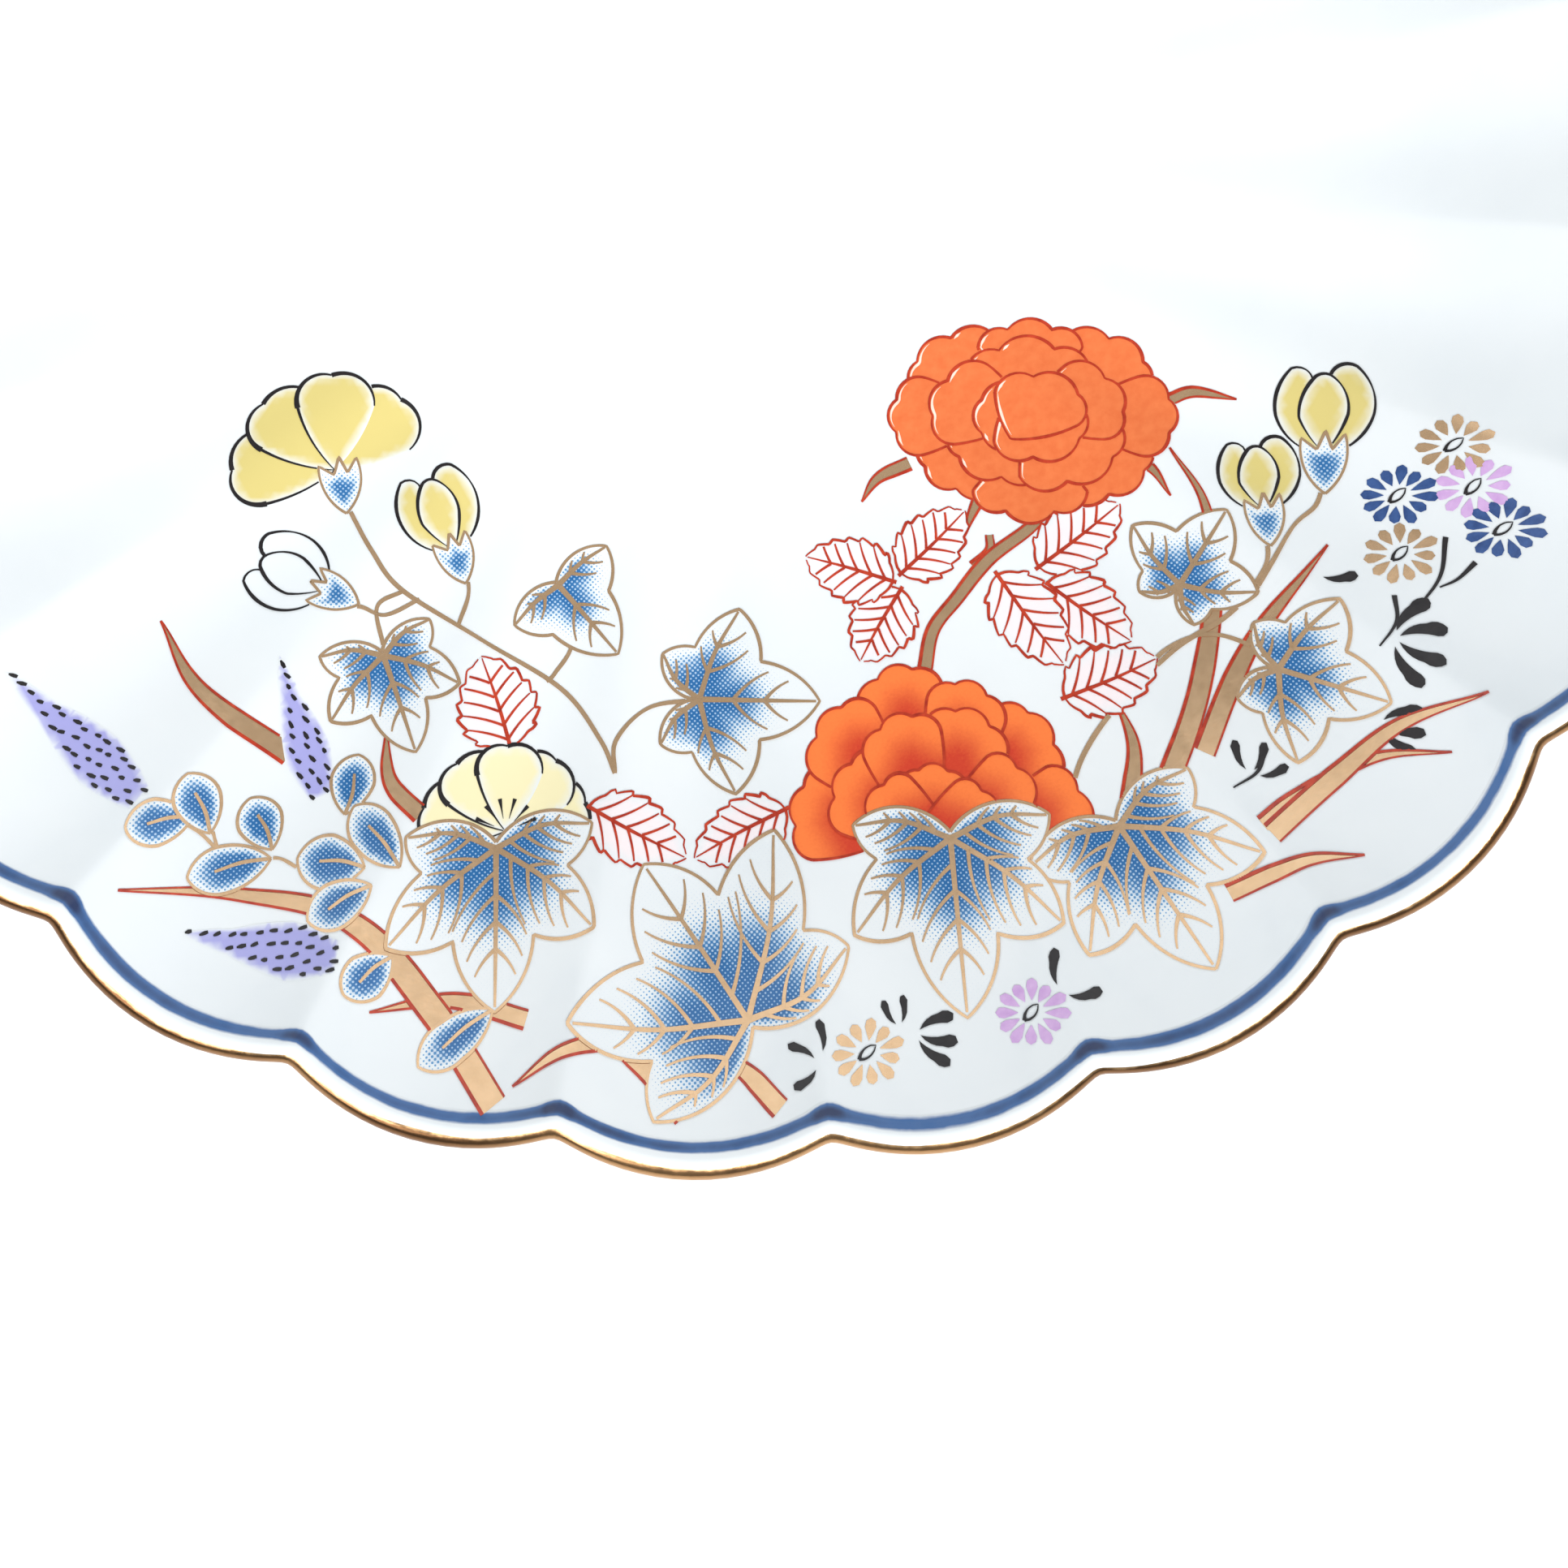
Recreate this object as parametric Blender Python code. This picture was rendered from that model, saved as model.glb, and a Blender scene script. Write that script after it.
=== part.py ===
"""A scalloped porcelain serving bowl, built as three solids.

bowl_body  the pressed porcelain bowl, with twenty-four lobes round its rim and soft flutes inside
foot_ring  the turned ring that is luted under the body, and that the bowl stands on
gold_lip   the gilt band that is fired over the crest and the outer side of the lip

Metres, +Z up. The origin is at the middle of the resting plane, and a lobe is centred on -Y.
"""

import math

import bmesh
import bpy

# The whole bowl
OVERALL_RADIUS = 0.125
OVERALL_HEIGHT = 0.072
LOBES = 24
CLEARANCE = 0.0003

# The lobed outline: each lobe is an arc struck from a centre part of the way out
ARC_CENTRE = 0.76
ARC_RADIUS = 0.24
CUSP_SOFTNESS = math.radians(0.35)

# The wall
FLOOR_HEIGHT = 0.0112
BOWL_POWER = 2.3
BASE_THICKNESS = 0.0050
LIP_RADIUS = 0.00085
INNER_FLUTE_START = 0.14
OUTER_FLUTE_START = 0.50
RIDGE_HEIGHT = 0.0007

# The gilt band, measured round the lip from its outermost point
GOLD_THICKNESS = 0.00035
GOLD_INNER_EDGE = math.radians(78)
GOLD_OUTER_EDGE = math.radians(-30)

# The foot ring
FOOT_INNER_RADIUS = 0.0465
FOOT_OUTER_RADIUS = 0.0535
FOOT_TREAD_INNER = 0.0485
FOOT_TREAD_OUTER = 0.0520
TREAD_BEVEL = 0.0006

# How finely the solids are faceted
SEGMENTS = 6 * LOBES
INNER_RINGS = (0.10, 0.22, 0.34, 0.46, 0.58, 0.69, 0.79, 0.87, 0.94, 1.0)
OUTER_RINGS = (1.0, 0.93, 0.85, 0.76, 0.66, 0.56)
LIP_STEPS = 4
GOLD_STEPS = 4

PORCELAIN = (0.86, 0.88, 0.89)
BISCUIT = (0.80, 0.77, 0.72)
GILT = (0.78, 0.52, 0.22)

# Derived sizes of the lip, which is a round bead that ends the wall
GOLD_INNER = LIP_RADIUS + CLEARANCE
GOLD_OUTER = GOLD_INNER + GOLD_THICKNESS
LIP_CENTRE_RADIUS = OVERALL_RADIUS - GOLD_OUTER
LIP_CENTRE_HEIGHT = OVERALL_HEIGHT - GOLD_OUTER
WALL_RISE = LIP_CENTRE_HEIGHT - FLOOR_HEIGHT
WALL_ANGLE = math.atan(WALL_RISE * BOWL_POWER / LIP_CENTRE_RADIUS)
INNER_RADIUS = LIP_CENTRE_RADIUS - LIP_RADIUS * math.sin(WALL_ANGLE)
INNER_RISE = WALL_RISE + LIP_RADIUS * math.cos(WALL_ANGLE)


def smooth_step(low, high, value):
    """Rise from 0 at low to 1 at high, with no slope at either end."""
    share = min(1.0, max(0.0, (value - low) / (high - low)))
    return share * share * (3.0 - 2.0 * share)


def lobe_dip(angle):
    """How far the outline dips inside its circle, from 0 at a lobe's middle to its most at a cusp."""
    half = math.pi / LOBES
    across = (angle + math.pi / 2.0 + half) % (2.0 * half) - half
    to_cusp = half - abs(across)
    rounded = math.hypot(to_cusp, CUSP_SOFTNESS) - CUSP_SOFTNESS
    rounded *= half / (math.hypot(half, CUSP_SOFTNESS) - CUSP_SOFTNESS)
    turn = half - rounded
    reach = ARC_CENTRE * math.cos(turn) + math.sqrt(ARC_RADIUS ** 2 - (ARC_CENTRE * math.sin(turn)) ** 2)
    return 1.0 - reach


def inner_profile(share):
    """Radius and height of the inner face, at a share of the way from the middle to the lip."""
    return INNER_RADIUS * share, FLOOR_HEIGHT + INNER_RISE * share ** BOWL_POWER


def outer_profile(share):
    """The inner face moved out by the wall's thickness, which tapers towards the lip."""
    radius, height = inner_profile(share)
    slope = math.atan(INNER_RISE * BOWL_POWER * share ** (BOWL_POWER - 1.0) / INNER_RADIUS)
    thickness = BASE_THICKNESS + (2.0 * LIP_RADIUS - BASE_THICKNESS) * smooth_step(0.25, 1.0, share)
    return radius + thickness * math.sin(slope), height - thickness * math.cos(slope)


def outer_height(radius):
    """Height of the underside at a radius inside the flutes, found by halving."""
    low = 0.0
    high = 1.0
    for _ in range(50):
        middle = (low + high) / 2.0
        if outer_profile(middle)[0] < radius:
            low = middle
        else:
            high = middle
    return outer_profile(low)[1]


def inner_ring(share):
    """A ring of the inner face, where the flutes stand up as soft ridges under the cusps."""
    radius, height = inner_profile(share)
    fade = smooth_step(INNER_FLUTE_START, 0.9, share)
    ridge = RIDGE_HEIGHT * smooth_step(INNER_FLUTE_START, 0.5, share) * (1.0 - smooth_step(0.5, 1.0, share))
    deepest = lobe_dip(-math.pi / 2.0 + math.pi / LOBES)

    def place(angle):
        dip = lobe_dip(angle)
        return radius * (1.0 - dip * fade), height + ridge * dip / deepest

    return ring(place)


def outer_ring(share):
    """A ring of the outer face, where the grooves under the cusps die out above the foot."""
    radius, height = outer_profile(share)
    fade = smooth_step(OUTER_FLUTE_START, 0.9, share)
    return ring(lambda angle: (radius * (1.0 - lobe_dip(angle) * fade), height))


def lip_ring(reach, turn):
    """A ring round the lip's bead, at a distance from its centre line and a turn about it."""
    radius = LIP_CENTRE_RADIUS + reach * math.cos(turn)
    height = LIP_CENTRE_HEIGHT + reach * math.sin(turn)
    return ring(lambda angle: (radius * (1.0 - lobe_dip(angle)), height))


def plain_ring(radius, height):
    """A ring with no lobes."""
    return ring(lambda angle: (radius, height))


def ring(place):
    """The points of one ring, from a function that gives radius and height at an angle."""
    points = []
    for step in range(SEGMENTS):
        angle = 2.0 * math.pi * step / SEGMENTS
        radius, height = place(angle)
        points.append((radius * math.cos(angle), radius * math.sin(angle), height))
    return points


def solid_from_rings(name, rings, first_pole, last_pole, color, roughness, metallic):
    """Skin rings into one closed solid.

    Rings run over the shape from first_pole to last_pole. With no poles they close into a hoop.
    """
    bm = bmesh.new()
    loops = [[bm.verts.new(point) for point in points] for points in rings]
    pairs = list(zip(loops, loops[1:]))
    if first_pole is None:
        pairs.append((loops[-1], loops[0]))
    for near, far in pairs:
        for step in range(SEGMENTS):
            after = (step + 1) % SEGMENTS
            bm.faces.new((near[step], near[after], far[after], far[step]))
    for height, loop in ((first_pole, loops[0]), (last_pole, loops[-1])):
        if height is None:
            continue
        pole = bm.verts.new((0.0, 0.0, height))
        for step in range(SEGMENTS):
            bm.faces.new((pole, loop[step], loop[(step + 1) % SEGMENTS]))
    bmesh.ops.recalc_face_normals(bm, faces=bm.faces)
    mesh = bpy.data.meshes.new(name)
    bm.to_mesh(mesh)
    bm.free()
    mesh.shade_smooth()
    mesh.set_sharp_from_angle(angle=math.radians(40))
    mesh.materials.append(material(name, color, roughness, metallic))
    solid = bpy.data.objects.new(name, mesh)
    bpy.context.scene.collection.objects.link(solid)
    return solid


def material(name, color, roughness, metallic):
    """A plain Principled material."""
    made = bpy.data.materials.new(name)
    made.use_nodes = True
    shader = made.node_tree.nodes["Principled BSDF"]
    shader.inputs["Base Color"].default_value = (*color, 1.0)
    shader.inputs["Roughness"].default_value = roughness
    shader.inputs["Metallic"].default_value = metallic
    return made


def bowl_body():
    """The inner face from the middle up, over the lip, and down the outer face to the middle."""
    rings = [inner_ring(share) for share in INNER_RINGS]
    for step in range(1, LIP_STEPS):
        turn = WALL_ANGLE + math.pi / 2.0 - math.pi * step / LIP_STEPS
        rings.append(lip_ring(LIP_RADIUS, turn))
    rings += [outer_ring(share) for share in OUTER_RINGS]
    for radius in (FOOT_OUTER_RADIUS, FOOT_INNER_RADIUS, FOOT_INNER_RADIUS / 2.0):
        rings.append(plain_ring(radius, outer_height(radius)))
    underside = FLOOR_HEIGHT - BASE_THICKNESS
    return solid_from_rings("bowl_body", rings, FLOOR_HEIGHT, underside, PORCELAIN, 0.12, 0.0)


def foot_ring():
    """A ring with a flat tread, whose top follows the underside of the body."""
    rings = [
        plain_ring(FOOT_OUTER_RADIUS, outer_height(FOOT_OUTER_RADIUS) - CLEARANCE),
        plain_ring(FOOT_TREAD_OUTER, TREAD_BEVEL),
        plain_ring(FOOT_TREAD_OUTER - TREAD_BEVEL, 0.0),
        plain_ring(FOOT_TREAD_INNER + TREAD_BEVEL, 0.0),
        plain_ring(FOOT_TREAD_INNER, TREAD_BEVEL),
        plain_ring(FOOT_INNER_RADIUS, outer_height(FOOT_INNER_RADIUS) - CLEARANCE),
    ]
    return solid_from_rings("foot_ring", rings, None, None, BISCUIT, 0.5, 0.0)


def gold_lip():
    """A thin band bent over the crest and the outer side of the lip."""
    rings = []
    for reach, start, end in (
        (GOLD_OUTER, GOLD_INNER_EDGE, GOLD_OUTER_EDGE),
        (GOLD_INNER, GOLD_OUTER_EDGE, GOLD_INNER_EDGE),
    ):
        for step in range(GOLD_STEPS + 1):
            rings.append(lip_ring(reach, start + (end - start) * step / GOLD_STEPS))
    return solid_from_rings("gold_lip", rings, None, None, GILT, 0.25, 1.0)


for old in list(bpy.data.objects):
    bpy.data.objects.remove(old)
bowl_body()
foot_ring()
gold_lip()
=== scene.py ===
import math
import random

import bpy
import numpy as np
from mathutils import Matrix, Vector
from mathutils.geometry import delaunay_2d_cdt


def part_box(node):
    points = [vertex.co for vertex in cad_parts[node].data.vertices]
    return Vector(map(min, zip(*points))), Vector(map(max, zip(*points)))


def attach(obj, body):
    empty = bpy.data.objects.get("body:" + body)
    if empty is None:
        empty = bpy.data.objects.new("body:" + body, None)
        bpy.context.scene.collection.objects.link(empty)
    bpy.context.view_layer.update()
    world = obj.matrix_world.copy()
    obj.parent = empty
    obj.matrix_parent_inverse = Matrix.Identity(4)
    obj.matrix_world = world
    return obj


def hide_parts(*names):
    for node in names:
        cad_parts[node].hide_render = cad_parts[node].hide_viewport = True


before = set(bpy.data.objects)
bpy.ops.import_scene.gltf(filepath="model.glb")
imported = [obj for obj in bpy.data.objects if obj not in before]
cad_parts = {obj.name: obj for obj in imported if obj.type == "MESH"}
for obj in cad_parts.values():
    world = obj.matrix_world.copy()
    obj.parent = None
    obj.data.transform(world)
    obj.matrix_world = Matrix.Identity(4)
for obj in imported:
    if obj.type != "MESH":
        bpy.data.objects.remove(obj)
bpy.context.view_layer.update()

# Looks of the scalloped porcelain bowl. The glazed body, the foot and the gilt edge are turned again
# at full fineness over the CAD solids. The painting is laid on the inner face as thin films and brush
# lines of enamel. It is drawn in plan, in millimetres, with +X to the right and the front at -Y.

MM = 0.001

# ------------ the shape of the bowl, in metres

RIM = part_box("gold_lip")[1]
LOBES = 24
HALF_LOBE = math.pi / LOBES
ARC_CENTRE = 0.76
ARC_RADIUS = 0.24
CUSP_SOFTNESS = math.radians(0.35)
FLOOR_HEIGHT = 0.0112
BOWL_POWER = 2.3
BASE_THICKNESS = 0.0050
LIP_RADIUS = 0.0015
INNER_FLUTE_START = 0.14
OUTER_FLUTE_START = 0.50
FLUTE_END = 0.90
RIDGE_HEIGHT = 0.0007
LIP_CENTRE_RADIUS = RIM.x - LIP_RADIUS
LIP_CENTRE_HEIGHT = RIM.z - LIP_RADIUS
WALL_ANGLE = math.atan((LIP_CENTRE_HEIGHT - FLOOR_HEIGHT) * BOWL_POWER / LIP_CENTRE_RADIUS)
INNER_RADIUS = LIP_CENTRE_RADIUS - LIP_RADIUS * math.sin(WALL_ANGLE)
INNER_RISE = LIP_CENTRE_HEIGHT - FLOOR_HEIGHT + LIP_RADIUS * math.cos(WALL_ANGLE)

LOBE_STEPS = 24
INNER_STEPS = 84
OUTER_STEPS = 44
LIP_STEPS = 10


def smooth_step(low, high, value):
    """Rise from 0 at low to 1 at high, with no slope at either end."""
    share = np.clip((value - low) / (high - low), 0.0, 1.0)
    return share * share * (3.0 - 2.0 * share)


def ring_angles():
    """Angles round the bowl, closer together towards each cusp."""
    share = np.arange(LOBE_STEPS) / LOBE_STEPS
    offset = 2.0 * share - 1.0
    lobe = HALF_LOBE * (offset + 0.55 * np.sin(math.pi * offset) / math.pi)
    middles = -math.pi / 2.0 + 2.0 * HALF_LOBE * np.arange(LOBES)
    return (middles[:, None] + lobe).ravel()


def lobe_dip(angle):
    """How far the outline dips inside its circle, from 0 at a lobe's middle to its most at a cusp."""
    across = (angle + math.pi / 2.0 + HALF_LOBE) % (2.0 * HALF_LOBE) - HALF_LOBE
    rounded = np.hypot(HALF_LOBE - np.abs(across), CUSP_SOFTNESS) - CUSP_SOFTNESS
    rounded = rounded * HALF_LOBE / (math.hypot(HALF_LOBE, CUSP_SOFTNESS) - CUSP_SOFTNESS)
    turn = HALF_LOBE - rounded
    return 1.0 - ARC_CENTRE * np.cos(turn) - np.sqrt(ARC_RADIUS ** 2 - (ARC_CENTRE * np.sin(turn)) ** 2)


DEEPEST = float(lobe_dip(HALF_LOBE - math.pi / 2.0))


def inner_dip(share, angle):
    """The same dip on the inner face: a soft wave low down that sharpens into the cusps at the lip."""
    soft = DEEPEST * (0.5 - 0.5 * np.cos((angle + math.pi / 2.0) * LOBES))
    sharp = smooth_step(0.55, 1.0, share)
    return soft + (lobe_dip(angle) - soft) * sharp


def inner_face(share, angle):
    """Radius and height of the inner face at a share of the way to the lip."""
    dip = inner_dip(share, angle)
    ridge = RIDGE_HEIGHT * smooth_step(INNER_FLUTE_START, 0.5, share) * (1.0 - smooth_step(0.5, 1.0, share))
    radius = INNER_RADIUS * share * (1.0 - dip * smooth_step(INNER_FLUTE_START, FLUTE_END, share))
    return radius, FLOOR_HEIGHT + INNER_RISE * share ** BOWL_POWER + ridge * dip / DEEPEST


def outer_face(share, angle):
    """Radius and height of the outer face, the wall's thickness away from the inner one."""
    slope = np.arctan(INNER_RISE * BOWL_POWER * share ** (BOWL_POWER - 1.0) / INNER_RADIUS)
    thickness = BASE_THICKNESS + (2.0 * LIP_RADIUS - BASE_THICKNESS) * smooth_step(0.25, 1.0, share)
    radius = INNER_RADIUS * share + thickness * np.sin(slope)
    height = FLOOR_HEIGHT + INNER_RISE * share ** BOWL_POWER - thickness * np.cos(slope)
    return radius * (1.0 - lobe_dip(angle) * smooth_step(OUTER_FLUTE_START, FLUTE_END, share)), height


def lip_face(reach, turn, angle):
    """Radius and height on the bead that ends the wall, at a turn about its centre line."""
    radius = (LIP_CENTRE_RADIUS + reach * np.cos(turn)) * (1.0 - lobe_dip(angle))
    return radius, LIP_CENTRE_HEIGHT + reach * np.sin(turn)


def glaze_height(x, y):
    """Height of the inner face over a point in plan, in metres."""
    radius = np.hypot(x, y)
    angle = np.arctan2(y, x)
    share = radius / INNER_RADIUS
    for _ in range(10):
        dip = inner_dip(share, angle)
        share = radius / (INNER_RADIUS * (1.0 - dip * smooth_step(INNER_FLUTE_START, FLUTE_END, share)))
    return inner_face(share, angle)[1]


def on_glaze(points, lift):
    """Points in plan, in millimetres, raised off the inner face along its normals, and those normals."""
    flat = np.asarray(points, float).reshape(-1, 2) * MM
    x, y = flat.T
    reach = 0.2 * MM
    slope_x = (glaze_height(x + reach, y) - glaze_height(x - reach, y)) / (2.0 * reach)
    slope_y = (glaze_height(x, y + reach) - glaze_height(x, y - reach)) / (2.0 * reach)
    normal = np.stack([-slope_x, -slope_y, np.ones(len(x))], axis=1)
    normal /= np.linalg.norm(normal, axis=1)[:, None]
    return np.stack([x, y, glaze_height(x, y)], axis=1) + normal * lift * MM, normal


# ------------ materials


def srgb(red, green, blue):
    """A screen colour, 0 to 255, as linear light."""
    parts = [c / 255.0 for c in (red, green, blue)]
    return tuple(c / 12.92 if c <= 0.04045 else ((c + 0.055) / 1.055) ** 2.4 for c in parts)


PORCELAIN = (0.80, 0.835, 0.85)
PORCELAIN_POOL = (0.755, 0.80, 0.825)
GLOSS = 0.07
SCREEN_PITCH = 0.00046
SCREEN_TURN = math.radians(38.0)
GRAIN_DEPTH = 0.0001
RIPPLE_DEPTH = 0.0004


class Shade:
    """A Principled material and short ways to add nodes to it."""

    def __init__(self, name, roughness, metallic=0.0):
        self.material = bpy.data.materials.new(name)
        self.material.use_nodes = True
        self.tree = self.material.node_tree
        self.shader = self.tree.nodes["Principled BSDF"]
        self.shader.inputs["Roughness"].default_value = roughness
        self.shader.inputs["Metallic"].default_value = metallic
        self.place = self.add("ShaderNodeTexCoord").outputs["Object"]

    def add(self, kind, sockets=(), **settings):
        """Add a node, with its own settings and some of its sockets filled."""
        made = self.tree.nodes.new(kind)
        for key, value in settings.items():
            setattr(made, key, value)
        for key, value in dict(sockets).items():
            self.feed(made.inputs[key], value)
        return made

    def feed(self, socket, value):
        """Link a socket to an output, or set it to a number or colour."""
        if isinstance(value, bpy.types.NodeSocket):
            self.tree.links.new(value, socket)
        elif isinstance(value, tuple):
            socket.default_value = (*value, 1.0)
        else:
            socket.default_value = value

    def maths(self, operation, first, second=0.0, clamp=False):
        """A Math node's output."""
        made = self.add("ShaderNodeMath", {0: first, 1: second}, operation=operation, use_clamp=clamp)
        return made.outputs[0]

    def mix(self, share, low, high):
        """A colour between two, by a share."""
        return self.add("ShaderNodeMix", {0: share, 6: low, 7: high}, data_type="RGBA").outputs[2]

    def noise(self, scale, detail=3.0):
        """Noise over the object's own space, 0 to 1."""
        sockets = {"Vector": self.place, "Scale": scale, "Detail": detail, "Roughness": 0.55}
        return self.add("ShaderNodeTexNoise", sockets).outputs["Fac"]

    def ramp(self, value, low, high, start=0.0, end=1.0):
        """A value stretched from one range to another and clamped."""
        made = self.add("ShaderNodeMapRange", enumerate((value, low, high, start, end)), clamp=True)
        return made.outputs[0]

    def mottle(self, scale, start=0.0, end=1.0, detail=3.0):
        """The middle of a noise, stretched over a range."""
        return self.ramp(self.noise(scale, detail), 0.3, 0.7, start, end)

    def jitter(self, scale, reach, detail=3.0):
        """A noise centred on 0."""
        return self.maths("MULTIPLY", self.maths("SUBTRACT", self.noise(scale, detail), 0.5), reach)

    def tone(self):
        """The tone that each film's points carry."""
        return self.add("ShaderNodeAttribute", attribute_name="tone").outputs["Fac"]

    def bump(self, height, strength, distance):
        """Roughen the surface by a height."""
        made = self.add("ShaderNodeBump", {"Strength": strength, "Distance": distance, "Height": height})
        self.feed(self.shader.inputs["Normal"], made.outputs[0])

    def grain(self, scale, strength):
        """The fine unevenness of fired enamel or gold."""
        self.bump(self.noise(scale, 2.0), strength, GRAIN_DEPTH)

    def ripple(self):
        """The slight ripple of a fired glaze."""
        self.bump(self.noise(260.0, 2.0), 0.06, RIPPLE_DEPTH)

    def colour(self, value):
        """Set or link the base colour."""
        self.feed(self.shader.inputs["Base Color"], value)

    def porcelain(self):
        """The body's colour under the glaze, with faint cloudy drifts."""
        return self.mix(self.ramp(self.noise(38.0), 0.35, 0.75), PORCELAIN, PORCELAIN_POOL)


def glaze(name):
    """Clear glossy glaze over white porcelain."""
    made = Shade(name, GLOSS)
    made.colour(made.porcelain())
    made.ripple()
    return made.material


def foot_clay():
    """Glazed sides over a bare tread, warm where the clay shows."""
    made = Shade("foot_clay", 0.2)
    height = made.add("ShaderNodeSeparateXYZ", {0: made.place})
    edge = made.maths("ADD", height.outputs[2], made.maths("MULTIPLY", made.noise(300.0), 0.0006))
    bare = made.ramp(edge, 0.0011, 0.0014, 1.0, 0.0)
    clay = made.mix(made.noise(900.0), (0.60, 0.55, 0.48), (0.72, 0.68, 0.62))
    made.colour(made.mix(bare, made.porcelain(), clay))
    made.feed(made.shader.inputs["Roughness"], made.ramp(bare, 0.0, 1.0, GLOSS, 0.75))
    made.bump(made.maths("MULTIPLY", made.noise(2500.0), bare), 0.3, 0.0002)
    return made.material


def gilding(name, deep, bright, roughness=0.20):
    """Fired gold: brushed on by hand, so it is thicker in some places than in others."""
    made = Shade(name, roughness, metallic=0.76)
    made.colour(made.mix(made.mottle(420.0), deep, bright))
    made.feed(made.shader.inputs["Roughness"], made.mottle(900.0, roughness - 0.04, roughness + 0.05))
    made.grain(1500.0, 0.05)
    return made.material


def lip_gold_painted_reflections():
    """The gold of the lip: painted dark brown reflection in patches along its crown, and a painted bright
    highlight at its borders.
    """
    made = Shade("edge_gold", 0.18, metallic=1.0)
    # Painted reflection: the patchy dark brown stands for the dark room mirrored in the crown of the lip.
    reflection_patches = made.ramp(made.noise(26.0, 2.0), 0.42, 0.62)
    brown = made.mix(reflection_patches, (0.20, 0.10, 0.045), (0.46, 0.26, 0.12))
    # Painted highlight: where the film's tone is full, at both borders of the band, the gold turns bright
    # orange.
    painted_highlight_border = made.ramp(made.maths("ADD", made.tone(), made.jitter(500.0, 0.4)), 0.80, 0.98)
    made.colour(made.mix(painted_highlight_border, brown, (0.90, 0.58, 0.30)))
    made.feed(made.shader.inputs["Roughness"], made.mottle(900.0, 0.14, 0.26))
    made.grain(1500.0, 0.06)
    return made.material


def enamel(name, thin, thick, roughness=0.16):
    """Overglaze enamel, mottled between its thin and thick colour, glossy and a little uneven."""
    made = Shade(name, roughness)
    made.colour(made.mix(made.mottle(700.0, detail=4.0), thin, thick))
    made.grain(1100.0, 0.12)
    return made.material


def shaded_enamel(name, light, deep):
    """Enamel that deepens with the film's tone, with a stippled passage between."""
    made = Shade(name, 0.16)
    stippled = made.maths("ADD", made.tone(), made.jitter(2600.0, 0.35, 2.0), clamp=True)
    made.colour(made.mix(stippled, light, deep))
    made.grain(1100.0, 0.12)
    return made.material


def wash(name, colour):
    """A thin wash that fades to bare porcelain with the film's tone."""
    made = Shade(name, 0.12)
    made.colour(made.mix(made.tone(), made.porcelain(), colour))
    made.grain(700.0, 0.08)
    return made.material


def stained(name, light, deep):
    """Cobalt under the glaze: it bleeds at its edges and darkens where the brush left more of it."""
    made = Shade(name, GLOSS)
    tone = made.maths("ADD", made.tone(), made.maths("MULTIPLY", made.mottle(320.0), 0.18))
    blue = made.mix(made.ramp(tone, 0.75, 1.25), light, deep)
    made.colour(made.mix(made.ramp(tone, 0.12, 0.60), made.porcelain(), blue))
    made.ripple()
    return made.material


def halftone(name, light, deep):
    """Blue laid on as a screen of dots, which swell with the film's tone until they join."""
    made = Shade(name, 0.1)
    turned = made.add("ShaderNodeMapping", {"Vector": made.place})
    turned.inputs["Rotation"].default_value = (0.0, 0.0, SCREEN_TURN)
    turned.inputs["Scale"].default_value = (2.0 * math.pi / SCREEN_PITCH,) * 3
    parts = made.add("ShaderNodeSeparateXYZ", {0: turned.outputs[0]})
    waves = made.maths("ADD", made.maths("COSINE", parts.outputs[0]), made.maths("COSINE", parts.outputs[1]))
    level = made.ramp(waves, -2.0, 2.0)
    tone = made.tone()
    swell = made.maths("MULTIPLY", tone, 0.84)
    dots = made.ramp(made.maths("SUBTRACT", swell, level), -0.04, 0.10)
    ground = made.mix(made.ramp(tone, 0.30, 1.0, 0.0, 0.75), made.porcelain(), light)
    blue = made.mix(made.ramp(tone, 0.25, 0.95), light, deep)
    made.colour(made.mix(dots, ground, blue))
    return made.material


INKS = {
    "gold": (gilding, (0.76, 0.50, 0.285), (0.84, 0.56, 0.33)),
    "red": (enamel, srgb(196, 66, 38), srgb(158, 42, 26)),
    "black": (enamel, (0.016, 0.012, 0.013), (0.007, 0.005, 0.006), 0.35),
    "orange": (enamel, srgb(230, 122, 70), srgb(222, 110, 60)),
    "deep_orange": (shaded_enamel, srgb(248, 126, 62), srgb(204, 62, 38)),
    "blush": (enamel, srgb(255, 226, 212), srgb(255, 208, 188)),
    "yellow": (wash, srgb(214, 198, 124)),
    "pale_yellow": (wash, srgb(240, 231, 186)),
    "pink": (wash, srgb(246, 232, 234)),
    "lavender": (wash, srgb(164, 164, 220)),
    "navy": (enamel, srgb(62, 92, 148), srgb(44, 70, 122)),
    "mauve": (enamel, srgb(214, 178, 224), srgb(200, 158, 214)),
    "blue": (halftone, srgb(104, 162, 208), srgb(40, 102, 160)),
    "cobalt": (stained, srgb(60, 100, 154), srgb(22, 42, 84)),
}
materials = {}


def ink_material(ink):
    """Make each ink's material once."""
    if ink not in materials:
        maker, *finish = INKS[ink]
        materials[ink] = maker(ink + "_ink", *finish)
    return materials[ink]


# ------------ lines in plan, in millimetres

LINE_STEP = 0.30


def unit(angle):
    """The unit vector at an angle from +X, in radians."""
    return np.array([math.cos(angle), math.sin(angle)])


def toward(degrees):
    """The same for an angle in degrees."""
    return unit(math.radians(degrees))


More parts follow.
